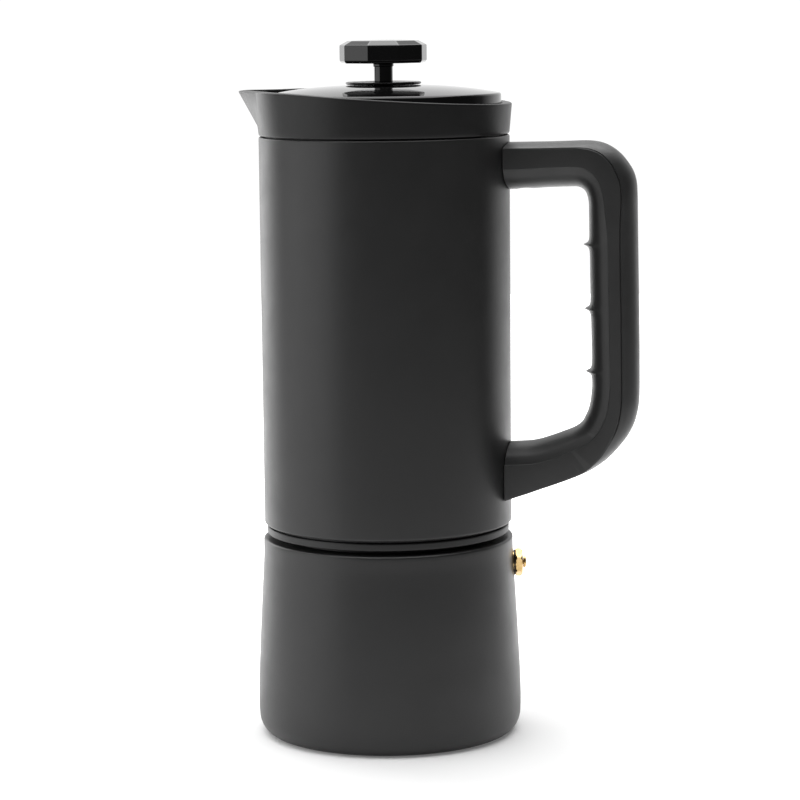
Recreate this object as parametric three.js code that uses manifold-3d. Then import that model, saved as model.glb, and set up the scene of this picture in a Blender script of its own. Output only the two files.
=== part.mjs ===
// Stovetop moka pot: boiler with a safety valve, coffee funnel, seal and filter plate,
// upper chamber with a brew column, V-spout collar, U handle, and a lift-off lid with a knob.
// Millimetres, +Z up. Origin at the centre of the boiler's underside, handle towards +X,
// spout towards -X.
import * as THREE from 'three';
import { mergeVertices } from 'three/addons/utils/BufferGeometryUtils.js';
import Module from 'manifold-3d';

// ---- driving dimensions -------------------------------------------------
const SEG = 36;               // segments of the large round parts
const SEG_S = 20;             // segments of the small round parts
const GAP = 0.3;              // working gap between neighbouring parts

const BOILER_R = 47.6;        // widest radius of the boiler
const BOILER_RIM_Z = 71.25;   // shoulder of the boiler under the neck
const NECK_R = 38.0;          // outside radius of the boiler neck
const NECK_BORE_R = 36.2;
const NECK_TOP_Z = 86.0;

const SHELL_R = 44.55;        // outside radius of the upper chamber
const SHELL_IN_R = 42.9;
const SHELL_Z0 = 76.5;
const SHELL_Z1 = 215.0;

const RING_R = 43.6;          // dark ring between boiler and chamber
const RING_Z0 = 72.9;
const RING_Z1 = 75.7;
const THREAD_BORE_R = 39.8;   // bore of the threaded skirt

const LINER_R = 41.2;
const LINER_IN_R = 40.3;
const LINER_TOP_Z = 213.5;

const COLLAR_Z0 = 215.4;      // lower edge of the spout collar
const COLLAR_R0 = 44.5;
const COLLAR_FLARE = 0.09;    // radius gained per mm of height
const COLLAR_IN_R = 40.9;
const COLLAR_LEDGE_Z = 223.4; // ledge that carries the lid
const COLLAR_LID_R = 42.0;
const SPOUT_TIP_X = 53.0;
const SPOUT_ROOT_Z = 215.95;
const SPOUT_CREASE = 22 * Math.PI / 180; // angle from the tip to the edge where a flat cheek meets the round wall
const SPOUT_TIP_Z = 230.9;
const WALL = 1.35;

const LID_R = 41.7;
const LID_EDGE_Z = 229.2;
const LID_APEX_Z = 232.9;
const LID_BOTTOM_Z = 223.7;

const STEM_R = 3.35;
const DISC_R = 13.4;
const DISC_Z0 = 232.98;
const DISC_Z1 = 233.9;
const KNOB_SIDES = 9;
const KNOB_R = 15.75;         // radius over the corners
const KNOB_TOP_R = 12.7;
const KNOB_Z0 = 240.5;
const KNOB_Z1 = 248.65;

const HANDLE_HALF_W = 10.0;
const HANDLE_INNER_ROUND = 7.2; // depth of the rounded inner side

const VALVE_Z = 60.4;
const VALVE_AZ = 10;          // degrees from +X towards +Y
const HEX_AF = 8.9;

// ---- helpers --------------------------------------------------------------
const wasm = await Module();
wasm.setup();

// merged, orientation-checked geometry without degenerate triangles
function clean(geometry) {
  let g = geometry.index ? geometry.toNonIndexed() : geometry.clone();
  for (const name of Object.keys(g.attributes)) {
    if (name !== 'position') g.deleteAttribute(name);
  }
  g = mergeVertices(g, 1e-4);
  const p = g.attributes.position;
  const idx = g.index.array;
  const keep = [];
  let vol = 0;
  const a = new THREE.Vector3(), b = new THREE.Vector3(), c = new THREE.Vector3();
  for (let i = 0; i < idx.length; i += 3) {
    const [u, v, w] = [idx[i], idx[i + 1], idx[i + 2]];
    if (u === v || v === w || w === u) continue;
    keep.push(u, v, w);
    a.fromBufferAttribute(p, u); b.fromBufferAttribute(p, v); c.fromBufferAttribute(p, w);
    vol += a.dot(b.cross(c));
  }
  if (vol < 0) {
    for (let i = 0; i < keep.length; i += 3) [keep[i + 1], keep[i + 2]] = [keep[i + 2], keep[i + 1]];
  }
  g.setIndex(keep);
  return g;
}

function toSolid(geometry) {
  const g = clean(geometry);
  return new wasm.Manifold(new wasm.Mesh({
    numProp: 3,
    vertProperties: new Float32Array(g.attributes.position.array),
    triVerts: new Uint32Array(g.index.array),
  }));
}

function toGeometry(solid) {
  const m = solid.getMesh();
  const g = new THREE.BufferGeometry();
  const v = new Float32Array(m.numVert * 3);
  for (let i = 0; i < m.numVert; i++) {
    for (let k = 0; k < 3; k++) v[i * 3 + k] = m.vertProperties[i * m.numProp + k];
  }
  g.setAttribute('position', new THREE.BufferAttribute(v, 3));
  g.setIndex(new THREE.BufferAttribute(new Uint32Array(m.triVerts), 1));
  return g;
}

// solid of revolution about +Z from [radius, height] points
function lathe(points, seg = SEG, closed = true) {
  const pts = points.map(([r, z]) => new THREE.Vector2(r, z));
  if (closed) pts.push(pts[0].clone());
  return clean(new THREE.LatheGeometry(pts, seg).rotateX(Math.PI / 2));
}

function box(x0, x1, y0, y1, z0, z1) {
  return new THREE.BoxGeometry(x1 - x0, y1 - y0, z1 - z0)
    .translate((x0 + x1) / 2, (y0 + y1) / 2, (z0 + z1) / 2);
}

function rod(r, z0, z1, seg = SEG_S) {
  return new THREE.CylinderGeometry(r, r, z1 - z0, seg)
    .rotateX(Math.PI / 2).translate(0, 0, (z0 + z1) / 2);
}

// a closed surface through rows of points; rows are joined last to first when loop is set,
// otherwise both end rows are closed by a fan about their centre
function skin(rows, loop) {
  const n = rows[0].length;
  const v = [];
  const idx = [];
  for (const row of rows) for (const p of row) v.push(...p);
  const last = loop ? rows.length : rows.length - 1;
  for (let j = 0; j < last; j++) {
    const a = j * n, b = ((j + 1) % rows.length) * n;
    for (let i = 0; i < n; i++) {
      const k = (i + 1) % n;
      idx.push(a + i, a + k, b + k, a + i, b + k, b + i);
    }
  }
  if (!loop) {
    for (const [j, flip] of [[0, true], [rows.length - 1, false]]) {
      const c = [0, 0, 0];
      for (const p of rows[j]) for (let k = 0; k < 3; k++) c[k] += p[k] / n;
      const m = v.length / 3;
      v.push(...c);
      for (let i = 0; i < n; i++) {
        const k = (i + 1) % n;
        if (flip) idx.push(m, j * n + k, j * n + i);
        else idx.push(m, j * n + i, j * n + k);
      }
    }
  }
  const g = new THREE.BufferGeometry();
  g.setAttribute('position', new THREE.BufferAttribute(new Float32Array(v), 3));
  g.setIndex(idx);
  return clean(g);
}

function lerpTable(table, x) {
  if (x <= table[0][0]) return table[0][1];
  for (let i = 1; i < table.length; i++) {
    if (x <= table[i][0]) {
      const t = (x - table[i - 1][0]) / (table[i][0] - table[i - 1][0]);
      return table[i - 1][1] + t * (table[i][1] - table[i - 1][1]);
    }
  }
  return table[table.length - 1][1];
}

const material = {
  coat: { color: 0x2b2b2c, roughness: 0.55, metalness: 0.3 },
  steel: { color: 0xb9bbbd, roughness: 0.28, metalness: 1 },
  brass: { color: 0xc79a3c, roughness: 0.25, metalness: 1 },
  handle: { color: 0x232323, roughness: 0.5, metalness: 0 },
  gloss: { color: 0x0a0a0a, roughness: 0.08, metalness: 0 },
  ring: { color: 0x171717, roughness: 0.4, metalness: 0.2 },
  silicone: { color: 0xd8d8d2, roughness: 0.6, metalness: 0 },
};

const pot = new THREE.Group();
function part(name, geometry, look, parent = pot) {
  const mesh = new THREE.Mesh(geometry, new THREE.MeshStandardMaterial(material[look]));
  mesh.name = name;
  parent.add(mesh);
  return mesh;
}

// ---- boiler ----------------------------------------------------------------
const boilerProfile = [
  [0, 0], [43.0, 0], [45.6, 0.95], [46.9, 2.9], [47.45, 5.4], [BOILER_R, 8.5], [BOILER_R, 12],
  [47.25, 24.3], [46.45, 40], [45.6, 54], [44.98, 65], [44.95, 68.9], [44.2, 70.7], [42.55, BOILER_RIM_Z],
  [NECK_R, BOILER_RIM_Z], [NECK_R, 85.4], [37.4, NECK_TOP_Z], [36.7, NECK_TOP_Z], [NECK_BORE_R, 85.5],
  [NECK_BORE_R, 69.2], [41.8, 68.6], [43.0, 65], [43.5, 54], [44.7, 31], [45.4, 14],
  [44.6, 4.8], [42.0, 2.9], [0, 2.9],
];
const valveTurn = new THREE.Matrix4().makeRotationZ(THREE.MathUtils.degToRad(VALVE_AZ))
  .multiply(new THREE.Matrix4().makeTranslation(0, 0, VALVE_Z))
  .multiply(new THREE.Matrix4().makeRotationY(Math.PI / 2));
// a piece made along +Z, laid along the valve's axis: its z becomes distance from the pot's axis
const alongValve = (g) => g.clone().applyMatrix4(valveTurn);

const boiler = toSolid(lathe(boilerProfile, SEG, false))
  .subtract(toSolid(alongValve(rod(4.25, 41, 47, SEG_S))));
part('boiler', toGeometry(boiler), 'coat');

// ---- safety valve --------------------------------------------------------------
const hexR = HEX_AF / Math.sqrt(3);
// corners point up and down: the hexagon's corner lies on the local X axis, which is vertical
const hex = new THREE.CylinderGeometry(hexR, hexR, 2.7, 6, 1, false, Math.PI / 2)
  .rotateX(Math.PI / 2).translate(0, 0, 45.72 + 1.35);
const hexChamfer = lathe([[0, 45.0], [hexR + 0.2, 45.0], [hexR + 0.2, 47.75], [4.3, 48.42], [0, 48.42]], SEG_S, false);
const valveBody = toSolid(hex).intersect(toSolid(hexChamfer))
  .add(toSolid(rod(4.0, 37.6, 46.2)))
  .subtract(toSolid(rod(1.2, 37, 41, 12)))
  .subtract(toSolid(rod(2.7, 40.0, 49)));
part('valve_body', toGeometry(valveBody).applyMatrix4(valveTurn), 'brass');
part('valve_washer', alongValve(lathe([[4.25, 45.52], [4.75, 45.52], [4.75, 45.69], [4.25, 45.69]], SEG_S)), 'ring');
const locknut = toSolid(new THREE.CylinderGeometry(6.2, 6.2, 2.4, 6).rotateX(Math.PI / 2).translate(0, 0, 41.1))
  .subtract(toSolid(rod(4.2, 39, 43)));
part('valve_locknut', toGeometry(locknut).applyMatrix4(valveTurn), 'brass');
part('valve_retainer', alongValve(lathe([[1.15, 46.9], [2.5, 46.9], [2.5, 48.3], [1.15, 48.3]], SEG_S)), 'brass');
part('valve_pin', alongValve(lathe([[0, 40.2], [1.6, 40.2], [2.3, 40.6], [2.3, 41.3], [0.8, 41.3], [0.8, 48.85],
  [1.7, 48.85], [2.08, 49.15], [2.0, 49.55], [1.5, 49.8], [0, 49.8]], SEG_S, false)), 'brass');

class Helix extends THREE.Curve {
  constructor(r, z0, z1, turns) { super(); Object.assign(this, { r, z0, z1, turns }); }
  getPoint(t, target = new THREE.Vector3()) {
    const a = 2 * Math.PI * this.turns * t;
    return target.set(this.r * Math.cos(a), this.r * Math.sin(a), this.z0 + (this.z1 - this.z0) * t);
  }
}
const wire = new THREE.Shape(Array.from({ length: 6 }, (_, i) =>
  new THREE.Vector2(0.26 * Math.cos(i * Math.PI / 3), 0.26 * Math.sin(i * Math.PI / 3))));
const valveSpring = new THREE.ExtrudeGeometry(wire, {
  steps: 36, bevelEnabled: false, extrudePath: new Helix(1.75, 41.9, 46.3, 4),
});
part('valve_spring', alongValve(clean(valveSpring)), 'steel');

// ---- coffee funnel ---------------------------------------------------------------
part('funnel', lathe([
  [4.6, 8.0], [5.4, 8.0], [5.4, 57.0], [8.0, 60.5], [33.8, 63.5], [35.4, 65.2], [35.4, 86.3], [37.6, 86.3],
  [37.6, 87.2], [34.7, 87.2], [34.7, 65.7], [33.5, 64.4], [8.0, 61.5], [4.6, 57.4],
]), 'steel');

function perforated(r, z0, z1, rings, holeR, seg = SEG) {
  const outline = new THREE.Shape(Array.from({ length: seg }, (_, i) =>
    new THREE.Vector2(r * Math.cos(2 * Math.PI * i / seg), r * Math.sin(2 * Math.PI * i / seg))));
  for (const [count, ringR, phase] of rings) {
    for (let i = 0; i < count; i++) {
      const a = 2 * Math.PI * (i + phase) / count;
      const c = [ringR * Math.cos(a), ringR * Math.sin(a)];
      outline.holes.push(new THREE.Path(Array.from({ length: 6 }, (_, k) =>
        new THREE.Vector2(c[0] + holeR * Math.cos(-k * Math.PI / 3), c[1] + holeR * Math.sin(-k * Math.PI / 3)))));
    }
  }
  return clean(new THREE.ExtrudeGeometry(outline, { depth: z1 - z0, bevelEnabled: false, curveSegments: 1 })
    .translate(0, 0, z0));
}
part('funnel_strainer', perforated(34.3, 66.0, 66.8, [[1, 0, 0], [6, 10, 0], [12, 22, 0.5]], 1.3, 36), 'steel');

// ---- seal and filter plate -----------------------------------------------------------
part('gasket', lathe([[30.0, 87.9], [30.4, 87.5], [38.0, 87.5], [38.6, 88.1], [38.6, 89.8], [38.0, 90.4], [30.4, 90.4], [30.0, 90.0]]), 'silicone');
part('filter_plate', perforated(36.5, 90.7, 91.3, [[1, 0, 0], [6, 10, 0], [12, 22, 0.5]], 1.3, 36), 'steel');

// ---- upper chamber -----------------------------------------------------------------------
part('threaded_ring', lathe([
  [THREAD_BORE_R, RING_Z0], [RING_R - 0.5, RING_Z0], [RING_R, RING_Z0 + 0.5], [RING_R, RING_Z1 - 0.5], [RING_R - 0.5, RING_Z1],
  [42.4, RING_Z1], [42.4, 91.3], [THREAD_BORE_R, 91.3],
]), 'ring');
part('chamber_shell', lathe([
  [SHELL_IN_R, SHELL_Z0 + 0.1], [43.3, SHELL_Z0], [43.95, SHELL_Z0 + 0.55], [44.3, SHELL_Z0 + 1.2], [SHELL_R, SHELL_Z0 + 2.1],
  [SHELL_R, SHELL_Z1 - 0.8], [SHELL_R - 0.25, SHELL_Z1 - 0.25], [SHELL_R - 0.8, SHELL_Z1], [SHELL_IN_R, SHELL_Z1],
]), 'coat');
part('chamber_liner', lathe([
  [7.3, 97.2], [30, 93.8], [35, 91.6], [LINER_R, 91.6], [LINER_R, LINER_TOP_Z - 0.3], [LINER_R - 0.3, LINER_TOP_Z],
  [LINER_IN_R + 0.2, LINER_TOP_Z], [LINER_IN_R, LINER_TOP_Z - 0.3],
  [LINER_IN_R, 94.8], [38.3, 92.9], [35.3, 92.6], [30.2, 94.8], [7.3, 98.2],
]), 'steel');
part('brew_column', lathe([
  [3.6, 94.2], [9.8, 94.2], [9.8, 96.1], [7.0, 96.3], [7.0, 101], [5.7, 105], [5.0, 150], [5.0, 163], [3.6, 163],
], SEG_S), 'steel');
const cap = toSolid(lathe([
  [0, 169.6], [3.2, 169.4], [5.3, 168.2], [5.3, 155], [6.3, 155], [6.3, 168.6], [5.4, 170.3], [3.4, 171.1], [0, 171.3],
], SEG_S, false)).subtract(toSolid(box(-3.2, 3.2, -8, 8, 163.6, 167.6)));
part('column_cap', toGeometry(cap), 'steel');

// ---- spout collar ---------------------------------------------------------------------------
// radius of a circle with a flat-sided spout, at an angle d from the spout's tip
function spoutRadius(d, r, tip) {
  if (tip <= r + 1e-6) return r;
  const t = Math.acos(r / tip);
  if (t <= SPOUT_CREASE) return d < t ? r / Math.cos(t - d) : r;
  if (d >= SPOUT_CREASE) return r;
  return r * tip * Math.sin(SPOUT_CREASE) / (r * Math.sin(SPOUT_CREASE - d) + tip * Math.sin(d));
}
const rimByX = [[-53.1, 230.95], [-51, 231.2], [-47, 231.1], [-42, 230.98], [-36.6, 230.95], [-30, 230.85], [-21.9, 230.5], [-12, 229.85], [45.6, 226.1]];
const collarR = (z) => COLLAR_R0 + COLLAR_FLARE * Math.max(0, z - COLLAR_Z0);
const collarTip = (z) => collarR(SPOUT_ROOT_Z) + (SPOUT_TIP_X - collarR(SPOUT_ROOT_Z)) * (z - SPOUT_ROOT_Z) / (SPOUT_TIP_Z - SPOUT_ROOT_Z);
const columns = [];
for (let i = 0; i < SEG; i++) columns.push(2 * Math.PI * i / SEG);
for (const d of [3, 11, 17, 22]) for (const s of [-1, 1]) columns.push(Math.PI + s * THREE.MathUtils.degToRad(d));
columns.sort((a, b) => a - b);

function rimZ(phi) {
  let z = 229;
  for (let k = 0; k < 4; k++) {
    const d = Math.abs(Math.PI - phi);
    z = lerpTable(rimByX, Math.cos(phi) * spoutRadius(d, collarR(z), collarTip(z)));
  }
  return z;
}
// row of the outer wall at a height, pulled in by an amount
const outerRow = (f, inset, drop) => columns.map((phi) => {
  const top = rimZ(phi) - drop;
  const z = COLLAR_Z0 + (top - COLLAR_Z0) * f;
  const r = spoutRadius(Math.abs(Math.PI - phi), collarR(z), collarTip(z)) - inset;
  return [r * Math.cos(phi), r * Math.sin(phi), z];
});
const flatRow = (r, z) => columns.map((phi) => [r * Math.cos(phi), r * Math.sin(phi), z]);
// row of the inner wall: a bore with the spout's channel, one wall thickness inside
const innerRow = (f, r0) => columns.map((phi) => {
  const top = rimZ(phi);
  const z = COLLAR_LEDGE_Z + (top - COLLAR_LEDGE_Z) * f;
  const d = Math.abs(Math.PI - phi);
  const tip = collarTip(z) - WALL / Math.cos(Math.acos(Math.min(1, collarR(z) / collarTip(z))));
  const r = Math.max(r0, Math.min(spoutRadius(d, r0, tip), spoutRadius(d, collarR(z), collarTip(z)) - WALL));
  return [r * Math.cos(phi), r * Math.sin(phi), z];
});
const lowChannel = (z, r0) => columns.map((phi) => {
  const d = Math.abs(Math.PI - phi);
  const outer = spoutRadius(d, collarR(z), collarTip(z));
  const tip = collarTip(z) - WALL * collarTip(z) / collarR(z);
  const r = Math.max(r0, Math.min(spoutRadius(d, r0, tip), outer - WALL));
  return [r * Math.cos(phi), r * Math.sin(phi), z];
});
const collarRows = [
  flatRow(41.5, 208.5), flatRow(42.6, 208.5), flatRow(42.6, COLLAR_Z0), flatRow(COLLAR_R0 - 0.5, COLLAR_Z0),
  flatRow(COLLAR_R0, COLLAR_Z0 + 0.5),
  outerRow(0.25, 0, 0.4), outerRow(0.5, 0, 0.4), outerRow(0.75, 0, 0.4), outerRow(1, 0, 0.4), outerRow(1, 0.35, 0),
  innerRow(1, COLLAR_LID_R), innerRow(0.5, COLLAR_LID_R), innerRow(0, COLLAR_LID_R),
  lowChannel(COLLAR_LEDGE_Z - 0.01, COLLAR_IN_R), lowChannel(219.5, COLLAR_IN_R), flatRow(COLLAR_IN_R, 214.2), flatRow(41.5, 213.8),
];
part('spout_collar', skin(collarRows, true), 'coat');

// ---- handle --------------------------------------------------------------------------------------
// stations: outer point, inner point, depth of the outer crown
const stations = [
  [[40, 212.5], [40, 195.9], 1.9], [[50, 212.55], [50, 195.95], 1.9], [[58, 212.65], [58, 196.5], 1.9], [[66, 212.85], [65.0, 196.75], 1.95],
  [[72.5, 213.0], [69.0, 196.75], 2.2], [[77.3, 212.4], [70.9, 196.0], 2.8], [[81.2, 210.7], [72.0, 194.8], 3.4],
  [[84.5, 208.1], [72.6, 193.2], 4.0], [[87.0, 205.0], [72.9, 191.4], 4.6], [[88.75, 202.0], [73.0, 189.7], 5.0],
  [[89.75, 198.4], [73.0, 187.7], 5.3], [[90.05, 194.0], [73.05, 185.0], 5.3],
];
const ridgeZ = [176.5, 153.85, 131.6];
const gripInnerX = (z) => lerpTable([[120, 73.55], [128, 74.0], [135.5, 73.9], [154, 73.6], [166, 73.35], [185, 73.05]], z);
const gripOuterX = (z) => lerpTable([[120, 90.85], [128, 90.9], [142, 90.8], [154, 90.65], [171, 90.35], [190, 90.1]], z);
for (const z of ridgeZ) {
  for (const [dz, bump] of [[2.6, 0], [1.0, 0.8], [0, 2.25], [-1.0, 0.8], [-2.6, 0]]) {
    const h = z + dz;
    stations.push([[gripOuterX(h), h], [gripInnerX(h) - bump, h], 5.3, bump]);
  }
}
stations.push(
  [[90.88, 123.5], [73.8, 124.0], 5.3], [[90.55, 119.2], [73.3, 120.2], 5.2], [[89.85, 115.9], [72.6, 117.7], 4.9],
  [[88.65, 112.2], [71.7, 115.7], 4.6], [[86.45, 108.15], [70.6, 113.7], 4.0], [[83.35, 104.2], [68.9, 112.2], 3.2],
  [[80.2, 100.8], [66.9, 111.1], 2.4], [[76.8, 98.1], [64.4, 110.1], 1.7], [[73.2, 95.9], [61.9, 109.15], 1.1],
  [[68.6, 93.95], [59.0, 108.1], 0.75], [[62.5, 91.8], [55.6, 107.05], 0.5], [[56.0, 89.6], [52.0, 106.35], 0.4],
  [[50.0, 87.4], [48.3, 106.1], 0.35], [[40, 83.6], [40, 105.8], 0.35],
);
function section([o, i, crown]) {
  const dx = i[0] - o[0], dz = i[1] - o[1];
  const len = Math.hypot(dx, dz);
  const at = (s, y) => [o[0] + dx * s / len, y, o[1] + dz * s / len];
  const w = HANDLE_HALF_W;
  const row = [];
  for (const u of [-1, -0.85, -0.45, 0, 0.45, 0.85, 1]) {
    row.push(at(crown * (1 - Math.sqrt(Math.max(0, 1 - u * u))), u * w));
  }
  for (const u of [1, 0.92, 0.65, 0.25, -0.25, -0.65, -0.92, -1]) {
    row.push(at(len - HANDLE_INNER_ROUND * (1 - Math.sqrt(Math.max(0, 1 - u * u))), u * w));
  }
  return row;
}
let handle = toSolid(skin(stations.map(section), false));
handle = handle.subtract(toSolid(rod(SHELL_R + GAP, 70, 230, SEG)));
const SCREW_X = 50.5;
const move = (g, x) => g.translate(x, 0, 0);
handle = handle
  .subtract(toSolid(box(40, 55.4, -4.9, 4.9, 200.6, 207.4)))
  .subtract(toSolid(move(rod(3.3, 190, 199.6), SCREW_X)))
  .subtract(toSolid(move(rod(1.9, 199, 201), SCREW_X)))
  .subtract(toSolid(box(40, 55.4, -4.9, 4.9, 92.6, 99.4)))
  .subtract(toSolid(move(rod(3.3, 80, 90.4), SCREW_X)))
  .subtract(toSolid(move(rod(1.9, 90, 93), SCREW_X)));
part('handle', toGeometry(handle), 'handle');

const bracket = (z0, z1) => toGeometry(toSolid(box(44.7, 55.0, -4.5, 4.5, z0, z1))
  .subtract(toSolid(move(rod(1.9, z0 - 1, z1 + 1, 16), SCREW_X))));
part('upper_bracket', bracket(201.0, 207.0), 'steel');
part('lower_bracket', bracket(93.0, 99.0), 'steel');
const screw = (zHead, zTip) => clean(move(lathe([
  [0, zHead + 0.9], [1.2, zHead + 0.9], [1.2, zHead], [2.7, zHead], [3.0, zHead + 0.4], [3.0, zHead + 1.9], [1.6, zHead + 1.9], [1.6, zTip], [0, zTip],
], 16, false), SCREW_X));
part('upper_handle_screw', screw(197.4, 206.4), 'steel');
part('lower_handle_screw', screw(88.2, 98.4), 'steel');

// ---- lid -------------------------------------------------------------------------------------------
const domeZ = (r) => LID_APEX_Z - (LID_APEX_Z - LID_EDGE_Z - 0.5) * (r / 41.3) ** 2.5;
part('lid', lathe([
  [5.5, domeZ(5.5) - 1.0], [20, domeZ(20) - 1.0], [32, domeZ(32) - 1.0], [40.2, domeZ(40) - 1.0], [40.7, domeZ(40.7) - 1.5],
  [40.7, LID_BOTTOM_Z], [LID_R, LID_BOTTOM_Z], [LID_R, LID_EDGE_Z], [LID_R - 0.35, LID_EDGE_Z + 0.45], [LID_R - 1.0, domeZ(LID_R - 1.0)],
  [36, domeZ(36)], [26, domeZ(26)], [14, domeZ(14)], [5.5, domeZ(5.5)],
]), 'gloss');
part('lid_seal', lathe([
  [38.9, 221.2], [39.6, 220.8], [40.3, 221.4], [40.3, 226.4], [38.9, 226.4],
]), 'silicone');
part('lid_bush', lathe([
  [3.6, 224.5], [8.0, 229.3], [8.0, 231.4], [5.2, 231.5], [5.2, 232.5], [3.6, 232.5],
], SEG_S), 'gloss');

// ---- stem, disc and knob ---------------------------------------------------------------------------------
part('stem', lathe([
  [0, 210.5], [2.9, 210.5], [STEM_R, 210.9], [STEM_R, 211.0], [2.7, 211.0], [2.7, 212.3], [STEM_R, 212.3],
  [STEM_R, 239.2], [3.68, 239.3], [3.68, 240.1], [2.3, 240.2], [2.3, 245.6], [0, 245.6],
], SEG_S, false), 'gloss');
part('stem_clip', lathe([[3.0, 211.3], [5.6, 211.3], [5.6, 212.0], [3.0, 212.0]], SEG_S), 'steel');
part('stem_disc', lathe([
  [STEM_R + GAP, DISC_Z0], [12.9, DISC_Z0], [DISC_R, DISC_Z0 + 0.35], [DISC_R, DISC_Z1 - 0.35], [12.9, DISC_Z1], [STEM_R + GAP, DISC_Z1],
], 32), 'gloss');
const knobRow = (r, z) => Array.from({ length: KNOB_SIDES }, (_, i) => {
  const a = THREE.MathUtils.degToRad(-80 + 20 + 40 * i);
  return [r * Math.cos(a), r * Math.sin(a), z];
});
const knob = toSolid(skin([
  knobRow(KNOB_R - 0.65, KNOB_Z0), knobRow(KNOB_R, KNOB_Z0 + 0.9), knobRow(KNOB_R, KNOB_Z1 - 1.85), knobRow(KNOB_TOP_R, KNOB_Z1 - 0.3), knobRow(6.5, KNOB_Z1),
], false)).subtract(toSolid(rod(2.6, 238, 246)));
part('knob', toGeometry(knob), 'gloss');

export default pot;
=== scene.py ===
# Stovetop moka pot: looks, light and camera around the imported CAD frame.
import math
import bpy
import numpy as np
from mathutils import Matrix, Vector


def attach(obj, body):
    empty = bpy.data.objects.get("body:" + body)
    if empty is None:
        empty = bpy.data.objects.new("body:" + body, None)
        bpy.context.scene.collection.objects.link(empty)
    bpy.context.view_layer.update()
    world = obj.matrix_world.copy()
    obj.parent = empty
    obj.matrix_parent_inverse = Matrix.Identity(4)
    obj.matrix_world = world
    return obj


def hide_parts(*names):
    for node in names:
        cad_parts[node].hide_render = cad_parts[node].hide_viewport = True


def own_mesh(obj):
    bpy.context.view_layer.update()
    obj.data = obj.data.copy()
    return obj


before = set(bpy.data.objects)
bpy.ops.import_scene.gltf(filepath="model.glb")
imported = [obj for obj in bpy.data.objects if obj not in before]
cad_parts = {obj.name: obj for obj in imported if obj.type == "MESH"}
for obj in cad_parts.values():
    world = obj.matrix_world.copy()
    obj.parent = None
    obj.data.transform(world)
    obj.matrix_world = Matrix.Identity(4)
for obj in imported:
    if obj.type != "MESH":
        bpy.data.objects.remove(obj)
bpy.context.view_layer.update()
scene = bpy.context.scene
MM = 0.001
PI = math.pi


# ------------------------------------------------------------------ mesh helpers
def make(name, verts, faces, sharp=None, mats=None):
    me = bpy.data.meshes.new(name)
    me.from_pydata([(float(x) * MM, float(y) * MM, float(z) * MM) for x, y, z in verts], [], faces)
    me.validate()
    me.update()
    me.shade_smooth()
    if sharp:
        me.set_sharp_from_angle(angle=math.radians(sharp))
    if mats is not None:
        me.polygons.foreach_set("material_index", np.array(mats, np.int32))
    ob = bpy.data.objects.new(name, me)
    scene.collection.objects.link(ob)
    return ob


def rounded(pts, closed, n=5, hold=0.25):
    """Corner rounding of a polyline of (a, b[, radius]) points, with holding points beside each arc."""
    out, N = [], len(pts)
    for i, p in enumerate(pts):
        r = p[2] if len(p) > 2 else 0
        P = np.array(p[:2], float)
        if r <= 0 or (not closed and i in (0, N - 1)):
            out.append(tuple(P))
            continue
        A = np.array(pts[i - 1][:2], float) - P
        B = np.array(pts[(i + 1) % N][:2], float) - P
        la, lb = np.linalg.norm(A), np.linalg.norm(B)
        u, v = A / la, B / lb
        ang = math.acos(max(-1.0, min(1.0, float(u @ v))))
        if ang > PI - 0.01:
            out.append(tuple(P))
            continue
        d = min(r / math.tan(ang / 2), 0.46 * la, 0.46 * lb)
        r2 = d * math.tan(ang / 2)
        bis = (u + v) / np.linalg.norm(u + v)
        c = P + bis * (r2 / math.sin(ang / 2))
        a0, a1 = P + u * d - c, P + v * d - c
        phi = PI - ang
        if hold and la > 3 * (d + hold):
            out.append(tuple(P + u * (d + hold)))
        for k in range(n + 1):
            t = k / n
            w0, w1 = math.sin((1 - t) * phi) / math.sin(phi), math.sin(t * phi) / math.sin(phi)
            out.append(tuple(c + a0 * w0 + a1 * w1))
        if hold and lb > 3 * (d + hold):
            out.append(tuple(P + v * (d + hold)))
    return out


def catmull(pts, per=6):
    """Smooth open curve through points of any dimension."""
    P = [np.array(p, float) for p in pts]
    P = [2 * P[0] - P[1]] + P + [2 * P[-1] - P[-2]]
    out = []
    for i in range(1, len(P) - 2):
        p0, p1, p2, p3 = P[i - 1], P[i], P[i + 1], P[i + 2]
        for k in range(per):
            t = k / per
            out.append(0.5 * ((2 * p1) + (-p0 + p2) * t + (2 * p0 - 5 * p1 + 4 * p2 - p3) * t * t
                              + (-p0 + 3 * p1 - 3 * p2 + p3) * t ** 3))
    out.append(P[-2])
    return out


def rings(name, rows, loop=False, caps=True, sharp=None, mats=None):
    """Closed surface through rows of equal length; end rows close to a fan unless loop is set."""
    n = len(rows[0])
    verts = [p for r in rows for p in r]
    faces, fm = [], []
    last = len(rows) if loop else len(rows) - 1
    for j in range(last):
        a, b = j * n, ((j + 1) % len(rows)) * n
        for i in range(n):
            k = (i + 1) % n
            faces.append((a + i, a + k, b + k, b + i))
            fm.append(mats[j] if mats else 0)
    if not loop and caps:
        for j, flip in ((0, True), (len(rows) - 1, False)):
            c = np.mean(np.array(rows[j], float), axis=0)
            m = len(verts)
            verts.append(tuple(c))
            for i in range(n):
                k = (i + 1) % n
                faces.append((m, j * n + k, j * n + i) if flip else (m, j * n + i, j * n + k))
                fm.append(mats[min(j, len(mats) - 1)] if mats else 0)
    return make(name, verts, faces, sharp, fm if mats else None)


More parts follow.
